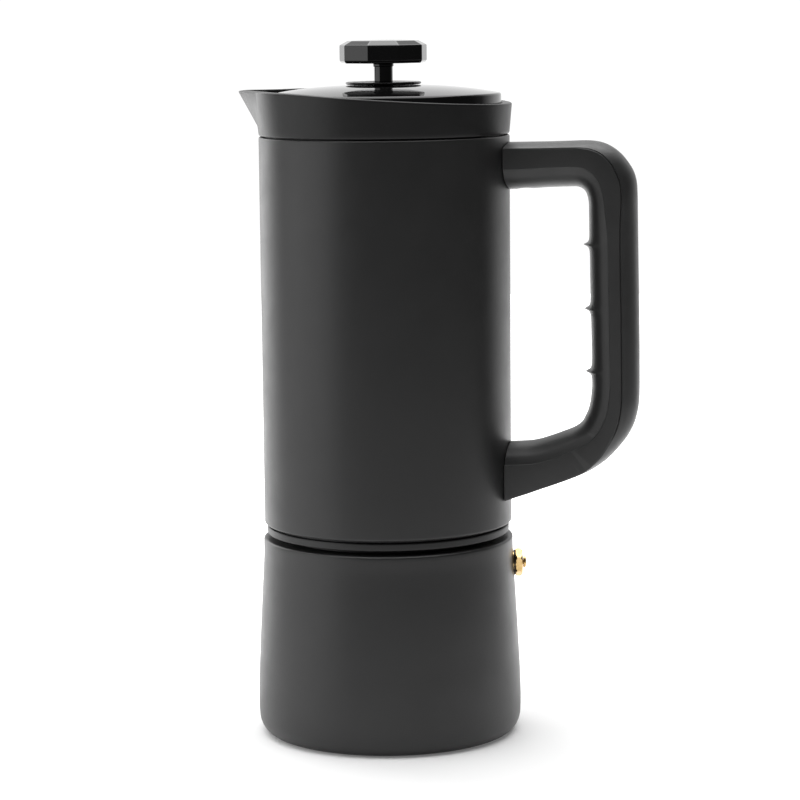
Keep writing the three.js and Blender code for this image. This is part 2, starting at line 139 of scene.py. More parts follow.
def lathe(name, profile, seg=160, closed=True, sharp=None, mats=None):
    """Solid of revolution about Z from (radius, z) points. mats gives a material index per profile step."""
    prof = list(profile)
    n = len(prof)
    verts, ids = [], []
    for r, z in prof:
        if r < 1e-6:
            ids.append([len(verts)] * seg)
            verts.append((0, 0, z))
        else:
            row = []
            for i in range(seg):
                a = 2 * PI * i / seg
                row.append(len(verts))
                verts.append((r * math.cos(a), r * math.sin(a), z))
            ids.append(row)
    faces, fm = [], []
    area = sum(prof[j][0] * prof[(j + 1) % n][1] - prof[(j + 1) % n][0] * prof[j][1] for j in range(n))
    for j in range(n if closed else n - 1):
        A, B = ids[j], ids[(j + 1) % n]
        for i in range(seg):
            k = (i + 1) % seg
            f = [A[i], A[k], B[k], B[i]]
            g = []
            for v in f:
                if v not in g:
                    g.append(v)
            if len(g) < 3:
                continue
            faces.append(tuple(g if area > 0 else g[::-1]))
            fm.append(mats(j, prof) if mats else 0)
    return make(name, verts, faces, sharp, fm if mats else None)


def place(ob, body, slot, mat, *nodes):
    """Puts a piece on its body, in the place of its CAD nodes, with its material."""
    mats = mat if isinstance(mat, (list, tuple)) else [mat]
    ob.data.materials.clear()
    for m in mats:
        ob.data.materials.append(m)
    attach(ob, body)
    if nodes:
        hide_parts(*nodes)
    return ob


def cut(ob, cutter):
    """Subtracts cutter from ob and removes the cutter."""
    m = ob.modifiers.new("cut", "BOOLEAN")
    m.operation = "DIFFERENCE"
    m.solver = "EXACT"
    m.object = cutter
    bpy.context.view_layer.update()
    dg = bpy.context.evaluated_depsgraph_get()
    me = bpy.data.meshes.new_from_object(ob.evaluated_get(dg))
    ob.modifiers.clear()
    old = ob.data
    ob.data = me
    bpy.data.meshes.remove(old)
    bpy.data.objects.remove(cutter)
    return ob


def sharpen(ob, deg):
    ob.data.shade_smooth()
    ob.data.set_sharp_from_angle(angle=math.radians(deg))
    return ob


def box_cutter(x0, x1, y0, y1, z0, z1):
    v = [(x, y, z) for z in (z0, z1) for y in (y0, y1) for x in (x0, x1)]
    f = [(0, 2, 3, 1), (4, 5, 7, 6), (0, 1, 5, 4), (2, 6, 7, 3), (0, 4, 6, 2), (1, 3, 7, 5)]
    return make("cutter", v, f)


def rod_cutter(r, z0, z1, x=0.0, y=0.0, seg=64):
    ob = lathe("cutter", [(0, z0), (r, z0), (r, z1), (0, z1)], seg, False)
    ob.data.transform(Matrix.Translation((x * MM, y * MM, 0)))
    return ob


def helix_ridge(name, r_root, r_crest, z0, turns, pitch, half_root, half_crest, seg=96):
    """A thread ridge whose ends run out; r_crest below r_root makes it an inside thread."""
    rows, steps = [], int(turns * seg)
    for s in range(steps + 1):
        a = 2 * PI * s / seg
        z = z0 + pitch * s / seg
        fade = min(1.0, s / (seg * 0.18), (steps - s) / (seg * 0.18))
        fade = max(0.02, fade)
        rc = r_root + (r_crest - r_root) * fade
        back = r_root - (0.25 if r_crest > r_root else -0.25)
        sec = [(back, -half_root), (r_root, -half_root), (rc, -half_crest * fade), (rc, half_crest * fade), (r_root, half_root), (back, half_root)]
        if r_crest < r_root:
            sec = sec[::-1]
        rows.append([(q * math.cos(a), q * math.sin(a), z + h) for q, h in sec])
    return rings(name, rows, sharp=30)


# ------------------------------------------------------------------ material helpers
class Nodes:
    def __init__(self, name):
        self.mat = bpy.data.materials.new(name)
        self.mat.use_nodes = True
        self.t = self.mat.node_tree
        self.t.nodes.clear()
        self.out = self.new("ShaderNodeOutputMaterial")
        self.bsdf = self.new("ShaderNodeBsdfPrincipled")
        self.link(self.bsdf.outputs[0], self.out.inputs[0])
        self.co = self.new("ShaderNodeTexCoord").outputs["Object"]

    def new(self, kind):
        return self.t.nodes.new(kind)

    def link(self, a, b):
        self.t.links.new(a, b)

    def noise(self, scale, detail=3.0, rough=0.5, vector=None, distortion=0.0):
        n = self.new("ShaderNodeTexNoise")
        n.inputs["Scale"].default_value = scale
        n.inputs["Detail"].default_value = detail
        n.inputs["Roughness"].default_value = rough
        n.inputs["Distortion"].default_value = distortion
        self.link(vector or self.co, n.inputs["Vector"])
        return n.outputs["Fac"]

    def ramp(self, fac, lo, hi, a, b):
        """Map a factor from lo..hi to a..b."""
        n = self.new("ShaderNodeMapRange")
        n.inputs["From Min"].default_value = lo
        n.inputs["From Max"].default_value = hi
        n.inputs["To Min"].default_value = a
        n.inputs["To Max"].default_value = b
        self.link(fac, n.inputs["Value"])
        return n.outputs["Result"]

    def math(self, op, a, b=None):
        n = self.new("ShaderNodeMath")
        n.operation = op
        for i, v in enumerate((a, b)):
            if v is None:
                continue
            if isinstance(v, (int, float)):
                n.inputs[i].default_value = v
            else:
                self.link(v, n.inputs[i])
        return n.outputs[0]

    def mix(self, fac, c1, c2):
        n = self.new("ShaderNodeMix")
        n.data_type = "RGBA"
        if isinstance(fac, (int, float)):
            n.inputs[0].default_value = fac
        else:
            self.link(fac, n.inputs[0])
        for sock, c in ((n.inputs[6], c1), (n.inputs[7], c2)):
            if isinstance(c, (tuple, list)):
                sock.default_value = (*c, 1) if len(c) == 3 else c
            else:
                self.link(c, sock)
        return n.outputs[2]

    def bump(self, height, strength, distance, chain=None):
        n = self.new("ShaderNodeBump")
        n.inputs["Strength"].default_value = strength
        n.inputs["Distance"].default_value = distance
        self.link(height, n.inputs["Height"])
        if chain is not None:
            self.link(chain, n.inputs["Normal"])
        return n.outputs["Normal"]

    def pointiness(self, lo, hi):
        g = self.new("ShaderNodeNewGeometry")
        return self.ramp(g.outputs["Pointiness"], lo, hi, 0, 1)

    def cylindrical(self, around=6.0, up=900.0, out=900.0):
        """Object coordinates turned into (angle, height, radius), stretched round the axis for turned and brushed marks."""
        s = self.new("ShaderNodeSeparateXYZ")
        self.link(self.co, s.inputs[0])
        x, y, z = s.outputs
        a = self.math("ARCTAN2", y, x)
        r = self.math("SQRT", self.math("ADD", self.math("MULTIPLY", x, x), self.math("MULTIPLY", y, y)))
        c = self.new("ShaderNodeCombineXYZ")
        self.link(self.math("MULTIPLY", self.math("COSINE", a), around * 0.1), c.inputs[0])
        self.link(self.math("MULTIPLY", z, up), c.inputs[1])
        self.link(self.math("MULTIPLY", r, out), c.inputs[2])
        return c.outputs[0]

    def set(self, **kw):
        for k, v in kw.items():
            self.bsdf.inputs[k.replace("_", " ")].default_value = v

    def feed(self, **kw):
        for k, v in kw.items():
            self.link(v, self.bsdf.inputs[k.replace("_", " ")])
        return self.mat


def coated(name, base=0.0185, rough=0.40, worn=0.05, spec=0.5):
    """Matte black powder coat: fine orange peel, faint cloudiness, a little polish on the edges."""
    m = Nodes(name)
    cloud = m.noise(28, 4, 0.55)
    speck = m.noise(2600, 2, 0.6)
    col = m.mix(m.ramp(cloud, 0.3, 0.7, 0, 1), (base * 0.86, base * 0.86, base * 0.88), (base * 1.14, base * 1.13, base * 1.14))
    col = m.mix(m.ramp(speck, 0.60, 0.74, 0, 0.35), col, (base * 2.1, base * 2.1, base * 2.1))
    edge = m.math("MULTIPLY", m.pointiness(0.53, 0.60), m.ramp(m.noise(160, 4, 0.6), 0.35, 0.7, 0.25, 1.0))
    col = m.mix(edge, col, (worn, worn, worn * 1.01))
    r = m.ramp(m.noise(90, 5, 0.6), 0.25, 0.75, rough - 0.035, rough + 0.045)
    peel = m.noise(900, 2, 0.5)
    n = m.bump(peel, 0.10, 0.00012)
    n = m.bump(speck, 0.12, 0.00004, n)
    m.set(IOR=1.5, Metallic=0.0, Specular_IOR_Level=spec)
    return m.feed(Base_Color=col, Roughness=r, Normal=n)


def moulded(name, base=0.017, rough=0.42):
    """Matte black moulded plastic with a fine spark-eroded grain."""
    m = Nodes(name)
    grain = m.noise(2100, 3, 0.65)
    cloud = m.noise(40, 3, 0.5)
    col = m.mix(m.ramp(cloud, 0.3, 0.7, 0, 1), (base * 0.88, base * 0.88, base * 0.88), (base * 1.15, base * 1.15, base * 1.15))
    edge = m.pointiness(0.54, 0.64)
    col = m.mix(m.math("MULTIPLY", edge, 0.7), col, (0.036, 0.036, 0.036))
    r = m.ramp(m.noise(260, 5, 0.6), 0.25, 0.75, rough - 0.05, rough + 0.06)
    n = m.bump(grain, 0.22, 0.00007)
    m.set(IOR=1.5)
    return m.feed(Base_Color=col, Roughness=r, Normal=n)


def gloss(name, base=0.0035, rough=0.035, spec=0.5):
    """Polished black: deep gloss with a trace of haze and hairline marks."""
    m = Nodes(name)
    col = m.mix(m.ramp(m.noise(60, 3), 0.3, 0.7, 0, 1), (base * 0.8, base * 0.8, base * 0.8), (base * 1.3, base * 1.3, base * 1.35))
    hair = m.noise(420, 6, 0.75, distortion=1.5)
    r = m.ramp(m.noise(180, 6, 0.7), 0.35, 0.75, rough, rough + 0.04)
    n = m.bump(hair, 0.012, 0.00002)
    m.set(IOR=1.52, Specular_IOR_Level=spec)
    return m.feed(Base_Color=col, Roughness=r, Normal=n)


def steel(name, rough=0.27, tone=0.56, up=5200.0, out=5200.0):
    """Stainless steel with fine turned marks round the axis and soft smudges."""
    m = Nodes(name)
    v = m.cylindrical(6.0, up / 100, out / 100)
    marks = m.noise(60, 4, 0.7, vector=v)
    smudge = m.noise(45, 4, 0.6)
    col = m.mix(m.ramp(marks, 0.3, 0.7, 0, 1), (tone * 0.9, tone * 0.9, tone * 0.89), (tone * 1.1, tone * 1.1, tone * 1.08))
    r = m.math("ADD", m.ramp(marks, 0.3, 0.7, rough - 0.06, rough + 0.05), m.ramp(smudge, 0.3, 0.75, -0.03, 0.07))
    n = m.bump(marks, 0.10, 0.00004)
    m.set(Metallic=1.0)
    return m.feed(Base_Color=col, Roughness=r, Normal=n)


def brassy(name):
    """Machined brass, lightly tarnished in the recesses."""
    m = Nodes(name)
    marks = m.noise(2400, 4, 0.65)
    tarnish = m.noise(420, 4, 0.6)
    cavity = m.pointiness(0.50, 0.42)
    col = m.mix(m.ramp(tarnish, 0.35, 0.7, 0, 1), (0.80, 0.57, 0.27), (0.66, 0.43, 0.17))
    col = m.mix(m.math("MULTIPLY", cavity, 0.7), col, (0.30, 0.17, 0.05))
    r = m.ramp(tarnish, 0.3, 0.75, 0.16, 0.30)
    n = m.bump(marks, 0.08, 0.00003)
    m.set(Metallic=1.0)
    return m.feed(Base_Color=col, Roughness=r, Normal=n)


def rubbery(name, tone=0.55):
    """Translucent white silicone with a dusty surface."""
    m = Nodes(name)
    dust = m.noise(900, 5, 0.7)
    col = m.mix(m.ramp(dust, 0.35, 0.7, 0, 1), (tone, tone, tone * 0.96), (tone * 0.82, tone * 0.81, tone * 0.76))
    r = m.ramp(dust, 0.3, 0.7, 0.42, 0.6)
    n = m.bump(m.noise(1800, 3), 0.12, 0.00005)
    m.set(Subsurface_Weight=0.15, Subsurface_Scale=0.002, IOR=1.41)
    return m.feed(Base_Color=col, Roughness=r, Normal=n)


COAT = coated("coated_steel", base=0.0105, rough=0.39, worn=0.035)
# painted shade: the body's powder coat again, made darker and with weaker reflections so the collar's lit left side
# comes out dimmer
COLLAR = coated("collar_coat_painted_shade", base=0.0085, rough=0.37, worn=0.03, spec=0.28)
RING = coated("dark_ring", base=0.003, rough=0.45, worn=0.012)
HANDLE = moulded("handle_plastic", base=0.021, rough=0.40)
GLOSS = gloss("gloss_black")
SATIN = gloss("satin_black", 0.004, 0.22, 0.3)
STEEL = steel("inner_steel")
STEEL_FINE = steel("bright_steel", rough=0.2, tone=0.6)
BRASS = brassy("brass")
SILICONE = rubbery("silicone")


# ------------------------------------------------------------------ boiler
side = catmull([(47.5, 8.0), (47.58, 12.0), (47.47, 18), (47.25, 24.3), (46.9, 31), (46.5, 39), (46.05, 47), (45.62, 54),
                (45.25, 60), (45.0, 65), (44.95, 69.0)], 4)
bottom = [(0, 0)] + [(r, 0) for r in (8, 16, 24, 31)] + rounded([(31.5, 0), (36.6, 0, 0.3), (37.0, 0.35, 0.2), (37.8, 0.35, 0.2), (38.2, 0, 0.3), (41.0, 0)], False, 3, 0)[1:]
corner = []
for k in range(9):
    t = math.radians(90 * k / 8)
    corner.append((42.3 + 5.15 * math.sin(t), 7.2 - 7.2 * math.cos(t)))
outer = bottom + corner + [tuple(p) for p in side]
rim_start = len(outer)
rest = rounded([(44.95, 69.2), (44.95, 71.25, 1.7), (38.6, 71.25), (38.0, 71.25, 0.4), (38.0, 86.0, 0.7), (36.2, 86.0, 0.5), (36.2, 68.8, 1.0), (43.0, 68.3, 2.6),
                (43.1, 60.0), (43.7, 47.5), (44.4, 36.0), (45.0, 24.0), (45.4, 12.0, 2.0), (44.9, 2.9, 5.0), (20, 2.9), (0, 2.9)], False, 6, 0.4)
prof = outer + [p for p in rest[1:]]


def boiler_mats(j, p):
    r, z = p[j]
    if z > 71.2 and r < 42.0:
        return 1
    if j > rim_start + 8 and (r < 38.3 or z < 70.5):
        return 1
    return 0


boiler = lathe("boiler_body", prof, 192, False, mats=boiler_mats)
hole = rod_cutter(4.25, 41, 47)
TURN = Matrix.Rotation(math.radians(10), 4, "Z") @ Matrix.Translation((0, 0, 60.4 * MM)) @ Matrix.Rotation(PI / 2, 4, "Y")
hole.data.transform(TURN)
cut(boiler, hole)
sharpen(boiler, 50)
place(boiler, "base", "coated_steel", [COAT, STEEL], "boiler")
neck_thread = helix_ridge("boiler_thread", 38.0, 38.82, 73.6, 3.3, 3.0, 1.1, 0.35)
place(neck_thread, "base", "inner_steel", STEEL_FINE)


# ------------------------------------------------------------------ safety valve
def along(ob):
    ob.data.transform(TURN)
    return ob


hexr = 8.9 / math.sqrt(3)


def hex_solid(name, r, z0, z1, ch, bore, seg=120):
    """Hexagonal block with turned chamfers at both ends and a bore; corners on local X."""
    rows = []
    zs = [(z0, 1.0), (z0 + ch * 0.5, 0.5), (z0 + ch, 0.0), (z0 + ch + 0.02, -1), (z1 - ch - 0.02, -1), (z1 - ch, 0.0), (z1 - ch * 0.5, 0.5), (z1, 1.0)]
    for k, (z, w) in enumerate(zs):
        row = []
        for i in range(seg):
            a = 2 * PI * i / seg
            d = (a + PI / 6) % (PI / 3) - PI / 6
            # distance to the flat, corners at a = 0, 60, ...
            m = (a % (PI / 3)) - PI / 6
            flat = r * math.cos(PI / 6) / math.cos(m)
            lim = r * (1.0 - 0.135 * max(w, 0) ** 1.0) if w >= 0 else r
            rad = min(flat, lim) - 0.06 * (1 if k in (0, len(zs) - 1) else 0)
            row.append((rad * math.cos(a), rad * math.sin(a), z))
        rows.append(row)
    inner = [[(bore * math.cos(2 * PI * i / seg), bore * math.sin(2 * PI * i / seg), z) for i in range(seg)] for z in (z1, z1 - 0.15, z0 + 0.15, z0)]
    return rings(name, rows + inner, loop=True, sharp=22)


vhex = along(hex_solid("valve_hex", hexr, 45.72, 48.42, 0.62, 2.65))
place(vhex, "base", "brass", BRASS, "valve_body")
shank = along(lathe("valve_shank", rounded([(1.2, 37.6), (3.6, 37.6, 0.2), (4.0, 38.0, 0.1), (4.0, 46.0), (2.7, 46.0), (2.7, 40.0), (1.2, 40.0)], True, 3, 0), 64, sharp=35))
place(shank, "base", "brass", BRASS)
sthread = along(helix_ridge("valve_shank_thread", 4.0, 4.16, 38.4, 4.6, 1.0, 0.34, 0.06, 48))
place(sthread, "base", "brass", BRASS)
washer = along(lathe("valve_washer_ring", rounded([(4.2, 45.25, 0.05), (4.6, 45.25, 0.05), (4.6, 45.7, 0.05), (4.2, 45.7, 0.05)], True, 3, 0), 64))
place(washer, "base", "dark_ring", RING, "valve_washer")
nut = along(hex_solid("valve_nut", 6.2, 39.9, 42.3, 0.5, 4.2))
place(nut, "base", "brass", BRASS, "valve_locknut")
retainer = along(lathe("valve_retainer_ring", rounded([(1.15, 46.9, 0.1), (2.55, 46.9, 0.1), (2.55, 48.3, 0.15), (1.9, 48.35, 0.1), (1.6, 48.1, 0.1), (1.15, 48.1, 0.1)], True, 3, 0), 64))
place(retainer, "base", "brass", BRASS, "valve_retainer")
pin = along(lathe("valve_pin_turned", rounded([(0, 40.2), (1.5, 40.2, 0.3), (2.3, 40.7, 0.2), (2.3, 41.3, 0.15), (0.8, 41.3, 0.1), (0.8, 48.72, 0.1), (2.05, 48.72, 0.15),
                                               (2.08, 49.5, 0.35), (1.45, 49.8, 0.2), (0.85, 49.8, 0.12), (0.7, 49.5, 0.1), (0, 49.5)], False, 4, 0), 64, False))
place(pin, "valve_pin", "brass", BRASS, "valve_pin")
wire = []
for s in range(0, 4 * 40 + 1):
    a = 2 * PI * s / 40
    c = np.array([1.75 * math.cos(a), 1.75 * math.sin(a), 41.9 + 4.4 * s / 160])
    er, ez = np.array([math.cos(a), math.sin(a), 0]), np.array([0, 0, 1.0])
    wire.append([tuple(c + 0.25 * (math.cos(2 * PI * q / 10) * er + math.sin(2 * PI * q / 10) * ez)) for q in range(10)])
spring = along(rings("valve_spring_coil", wire))
place(spring, "base", "inner_steel", STEEL_FINE, "valve_spring")
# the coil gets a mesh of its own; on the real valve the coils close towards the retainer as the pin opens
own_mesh(spring)


# ------------------------------------------------------------------ funnel, seal, filter
funnel = lathe("coffee_funnel", rounded([
    (4.6, 8.0, 0.2), (5.4, 8.0, 0.2), (5.4, 57.0, 3.0), (8.0, 60.5, 2.0), (18, 61.6), (20, 62.4, 1.0), (22, 62.4, 1.0), (33.8, 63.5, 1.6), (35.4, 65.4, 1.4), (35.4, 86.3, 0.35),
    (37.6, 86.3, 0.35), (37.6, 87.2, 0.35), (34.7, 87.2, 0.5), (34.7, 65.9, 1.2), (33.4, 64.4, 1.4), (22, 63.3, 0.8), (20, 63.3, 0.8), (18, 62.5), (8.0, 61.5, 2.0), (4.6, 57.4, 3.0),
], True, 5, 0.3), 144, sharp=60)
place(funnel, "funnel", "inner_steel", STEEL, "funnel")


def perforated(name, r, z0, z1, hole, pitch, rmax, bevel=0.12):
    """A round plate with a hexagonal field of holes, made from a filled curve."""
    cu = bpy.data.curves.new(name, "CURVE")
    cu.dimensions = "2D"
    cu.fill_mode = "BOTH"
    cu.extrude = ((z1 - z0) / 2 - bevel) * MM
    cu.bevel_depth = bevel * MM
    cu.bevel_resolution = 1
    cu.offset = -bevel * MM

    def ring(cx, cy, rad, n):
        sp = cu.splines.new("POLY")
        sp.points.add(n - 1)
        for i in range(n):
            a = 2 * PI * i / n
            sp.points[i].co = ((cx + rad * math.cos(a)) * MM, (cy + rad * math.sin(a)) * MM, 0, 1)
        sp.use_cyclic_u = True

    ring(0, 0, r, 128)
    n = int(rmax / pitch) + 2
    for i in range(-n, n + 1):
        for j in range(-n, n + 1):
            x, y = pitch * (i + 0.5 * j), pitch * math.sqrt(3) / 2 * j
            if math.hypot(x, y) <= rmax:
                ring(x, y, hole, 10)
    tmp = bpy.data.objects.new(name + "_curve", cu)
    scene.collection.objects.link(tmp)
    bpy.context.view_layer.update()
    me = bpy.data.meshes.new_from_object(tmp.evaluated_get(bpy.context.evaluated_depsgraph_get()))
    bpy.data.objects.remove(tmp)
    bpy.data.curves.remove(cu)
    me.name = name
    me.transform(Matrix.Translation((0, 0, (z0 + z1) / 2 * MM)))
    ob = bpy.data.objects.new(name, me)
    scene.collection.objects.link(ob)
    return sharpen(ob, 40)


strainer = perforated("strainer_disc", 34.3, 66.0, 66.8, 0.55, 3.1, 30.5)
place(strainer, "funnel", "inner_steel", STEEL_FINE, "funnel_strainer")
gasket = lathe("gasket_ring", rounded([(30.0, 87.5, 0.6), (33.0, 87.5), (34.4, 87.5), (38.6, 87.5, 0.7), (38.6, 90.4, 0.7), (30.0, 90.4, 0.6)], True, 5, 0.3), 144)
place(gasket, "seal", "silicone", SILICONE, "gasket")
plate = perforated("filter_disc", 36.5, 90.7, 91.3, 0.45, 2.6, 29.0)
place(plate, "filter", "inner_steel", STEEL_FINE, "filter_plate")


# ------------------------------------------------------------------ upper chamber
ring = lathe("threaded_ring_turned", rounded([(39.8, 72.9, 0.35), (43.6, 72.9, 0.55), (43.6, 75.7, 0.55), (42.4, 75.7, 0.1), (42.4, 91.3, 0.3), (39.8, 91.3, 0.3)], True, 5, 0.3), 192)
place(ring, "upper", "dark_ring", RING, "threaded_ring")
inner_thread = helix_ridge("threaded_ring_thread", 39.8, 38.98, 75.1, 3.6, 3.0, 1.1, 0.35)
place(inner_thread, "upper", "inner_steel", STEEL_FINE)

shell_side = [(44.55, z) for z in (96, 120, 145, 170, 195)]
shell = lathe("chamber_wall", rounded([(42.9, 76.5, 0.25), (44.55, 76.5, 1.75)] + shell_side + [(44.55, 215.0, 0.8), (42.9, 215.0, 0.25), (42.9, 150)], True, 9, 0.5), 192)
place(shell, "upper", "coated_steel", COAT, "chamber_shell")

liner = lathe("chamber_pot", rounded([
    (7.3, 97.2, 0.2), (30, 93.8, 3), (35, 91.6, 1.5), (41.2, 91.6, 0.8), (41.2, 213.5, 0.4), (40.3, 213.5, 0.4), (40.3, 150), (40.3, 93.0, 3.0),
    (35.3, 92.6, 1.5), (30.2, 94.8, 3), (7.3, 98.2, 0.2)], True, 6, 0.4), 160, sharp=60)
place(liner, "upper", "inner_steel", STEEL, "chamber_liner")
column = lathe("riser_column", rounded([
    (3.6, 94.2, 0.2), (9.8, 94.2, 0.4), (9.8, 96.1, 0.3), (7.0, 96.3, 0.1), (7.0, 101, 1.2), (5.7, 105, 3), (5.0, 150), (5.0, 163, 0.35), (3.6, 163, 0.35), (3.6, 120)], True, 5, 0.3), 96, sharp=60)
place(column, "upper", "inner_steel", STEEL_FINE, "brew_column")
cap = lathe("riser_cap", rounded([
    (0, 169.8), (3.2, 169.6, 1.0), (5.3, 168.2, 1.0), (5.3, 155, 0.2), (6.3, 155, 0.3), (6.3, 168.9, 1.2), (4.6, 171.0, 1.5), (0, 171.3)], False, 5, 0.3), 96, False)
cut(cap, box_cutter(-3.2, 3.2, -8, 8, 163.6, 167.6))
sharpen(cap, 40)
place(cap, "upper", "inner_steel", STEEL_FINE, "column_cap")

# spout collar
COLLAR_Z0, COLLAR_R0, FLARE = 215.4, 44.5, 0.09
TIP_X, TIP_Z, ROOT_Z, WALL = 53.0, 230.9, 215.95, 1.35
CREASE = math.radians(22)
LEDGE_Z, LID_BORE, BORE = 223.4, 42.0, 40.9
rim_table = [(-53.1, 230.95), (-51, 231.2), (-47, 231.1), (-42, 230.98), (-36.6, 230.95), (-30, 230.85), (-21.9, 230.5), (-12, 229.85), (0, 229.07), (20, 227.77), (45.6, 226.1)]
rim_curve = catmull(rim_table, 8)
rim_x, rim_zz = np.array([p[0] for p in rim_curve]), np.array([p[1] for p in rim_curve])


def spout_r(d, r, tip, soft=0.0):
    if tip <= r + 1e-6:
        return r
    t = math.acos(r / tip)
    if t <= CREASE:
        return r / math.cos(t - d) if d < t else r
    if d >= CREASE:
        return r
    return r * tip * math.sin(CREASE) / (r * math.sin(CREASE - d) + tip * math.sin(d))


def collar_r(z):
    return COLLAR_R0 + FLARE * max(0.0, z - COLLAR_Z0)


def collar_tip(z):
    r0 = collar_r(ROOT_Z)
    return r0 + (TIP_X - r0) * (z - ROOT_Z) / (TIP_Z - ROOT_Z)


def rim_z(phi):
    z = 229.0
    for _ in range(6):
        x = math.cos(phi) * spout_r(abs(PI - phi), collar_r(z), collar_tip(z))
        z = float(np.interp(x, rim_x, rim_zz))
    return z


phis = sorted(set([round(2 * PI * i / 180, 6) for i in range(180)]
                  + [round(PI + s * math.radians(d), 6) for d in (0.35, 0.8, 1.4, 2.9, 4.9, 6.9, 9, 11, 13, 15, 17, 19, 20.6, 21.4, 22, 22.6, 23.4, 25, 27, 29, 31) for s in (-1, 1)]))
rims = {p: rim_z(p) for p in phis}


def soft_r(d, r, tip):
    """Outline with its tip eased over the last degree or so."""
    e = math.radians(0.9)
    if d < e:
        return spout_r(e, r, tip) + (spout_r(0, r, tip) - spout_r(e, r, tip)) * (1 - (d / e) ** 2) * 0.55
    return spout_r(d, r, tip)


def out_row(f, inset, drop):
    row = []
    for p in phis:
        top = rims[p] - drop
        z = COLLAR_Z0 + (top - COLLAR_Z0) * f
        r = soft_r(abs(PI - p), collar_r(z), collar_tip(z)) - inset
        row.append((r * math.cos(p), r * math.sin(p), z))
    return row


def flat_row(r, z):
    return [(r * math.cos(p), r * math.sin(p), z) for p in phis]


def in_r(d, z, r0):
    outer_ = soft_r(d, collar_r(z), collar_tip(z))
    tip = collar_tip(z) - WALL * max(1.0, collar_tip(z) / collar_r(z))
    return max(r0, min(spout_r(d, r0, tip), outer_ - WALL))


def in_row(f, r0, base, drop=0.0, grow=0.0):
    row = []
    for p in phis:
        top = rims[p] - drop
        z = base + (top - base) * f
        r = in_r(abs(PI - p), z, r0) + grow
        row.append((r * math.cos(p), r * math.sin(p), z))
    return row


rows = [flat_row(41.5, 208.5), flat_row(42.45, 208.5), flat_row(42.6, 208.65), flat_row(42.6, 215.3), flat_row(42.75, COLLAR_Z0), flat_row(43.4, COLLAR_Z0)]
for k in range(5):
    t = math.radians(90 * k / 4)
    rows.append(flat_row(COLLAR_R0 - 0.55 + 0.55 * math.sin(t), COLLAR_Z0 + 0.55 - 0.55 * math.cos(t)))
for f in (0.08, 0.15, 0.25, 0.35, 0.45, 0.55, 0.65, 0.75, 0.85, 0.94, 0.985):
    rows.append(out_row(f, 0, 0.7))
for k in range(7):
    t = math.radians(90 * k / 6)
    rows.append(out_row(1, 0.62 - 0.62 * math.cos(t), 0.62 - 0.62 * math.sin(t)))
rows.append(in_row(1, LID_BORE, LEDGE_Z, 0.0, 0.42))
for k in range(1, 5):
    t = math.radians(90 * k / 4)
    rows.append(in_row(1, LID_BORE, LEDGE_Z, 0.35 - 0.35 * math.cos(t), 0.35 - 0.35 * math.sin(t)))
for f in (0.8, 0.5, 0.2, 0.03):
    rows.append(in_row(f, LID_BORE, LEDGE_Z, 0.4))
rows.append(in_row(0, LID_BORE, LEDGE_Z))


def low_row(z, r0):
    return [(in_r(abs(PI - p), z, r0) * math.cos(p), in_r(abs(PI - p), z, r0) * math.sin(p), z) for p in phis]


rows += [low_row(LEDGE_Z - 0.01, 41.3), low_row(LEDGE_Z - 0.12, 41.0), low_row(LEDGE_Z - 0.35, BORE), low_row(221.5, BORE), low_row(219.8, BORE), low_row(218.6, BORE), flat_row(BORE, 216.2), flat_row(BORE, 214.4), flat_row(41.1, 214.0), flat_row(41.5, 213.8)]
collar = rings("spout_collar_cast", rows, loop=True, sharp=55)
place(collar, "upper", "coated_steel", COLLAR, "spout_collar")


# ------------------------------------------------------------------ handle
W = 10.0
st = [
    (44.85, 212.5, 44.85, 195.9, 1.9), (50, 212.55, 50, 195.95, 1.9), (58, 212.65, 58, 196.5, 1.9), (66, 212.85, 65.0, 196.75, 1.95),
    (72.5, 213.0, 69.0, 196.75, 2.2), (77.3, 212.4, 70.9, 196.0, 2.8), (81.2, 210.7, 72.0, 194.8, 3.4), (84.5, 208.1, 72.6, 193.2, 4.0),
    (87.0, 205.0, 72.9, 191.4, 4.6), (88.75, 202.0, 73.0, 189.7, 5.0), (89.75, 198.4, 73.0, 187.7, 5.3), (90.05, 194.0, 73.05, 185.0, 5.3),
    (90.15, 187, 73.07, 181.5, 5.3), (90.3, 176.5, 73.25, 176.5, 5.3), (90.45, 166, 73.35, 166, 5.3), (90.65, 153.85, 73.6, 153.85, 5.3),
    (90.8, 142, 73.8, 142, 5.3), (90.85, 131.6, 74.0, 131.6, 5.3), (90.86, 125.8, 73.95, 126.2, 5.3), (90.65, 120.4, 73.45, 121.2, 5.25),
    (89.9, 116.1, 72.75, 118.1, 5.0), (88.65, 112.2, 71.75, 115.8, 4.6), (86.45, 108.15, 70.6, 113.7, 4.0), (83.35, 104.2, 68.9, 112.2, 3.2),
    (80.2, 100.8, 66.9, 111.1, 2.4), (76.8, 98.1, 64.4, 110.1, 1.7), (73.2, 95.9, 61.9, 109.15, 1.1), (68.6, 93.95, 59.0, 108.1, 0.75),
    (62.5, 91.8, 55.6, 107.05, 0.5), (56.0, 89.6, 52.0, 106.35, 0.4), (50.0, 87.4, 48.3, 106.1, 0.35), (44.85, 85.4, 44.85, 105.9, 0.35),
]
ridges = [176.5, 153.85, 131.6]
fine = catmull(st, 7)


def resample(stations):
    """More stations near the finger ridges."""
    out = []
    for a, b in zip(stations[:-1], stations[1:]):
        zi = (a[3] + b[3]) / 2
        near = min(abs(zi - z) for z in ridges) < 5.5 and a[0] > 85
        n = 5 if near else 1
        for k in range(n):
            out.append(a + (b - a) * k / n)
    out.append(stations[-1])
    return out


def bump_at(z):
    return sum(2.2 / (1 + (abs(z - r) / 0.62) ** 1.75) * (1 if abs(z - r) < 5 else 0) * max(0.0, 1 - (abs(z - r) / 5) ** 2) for r in ridges)


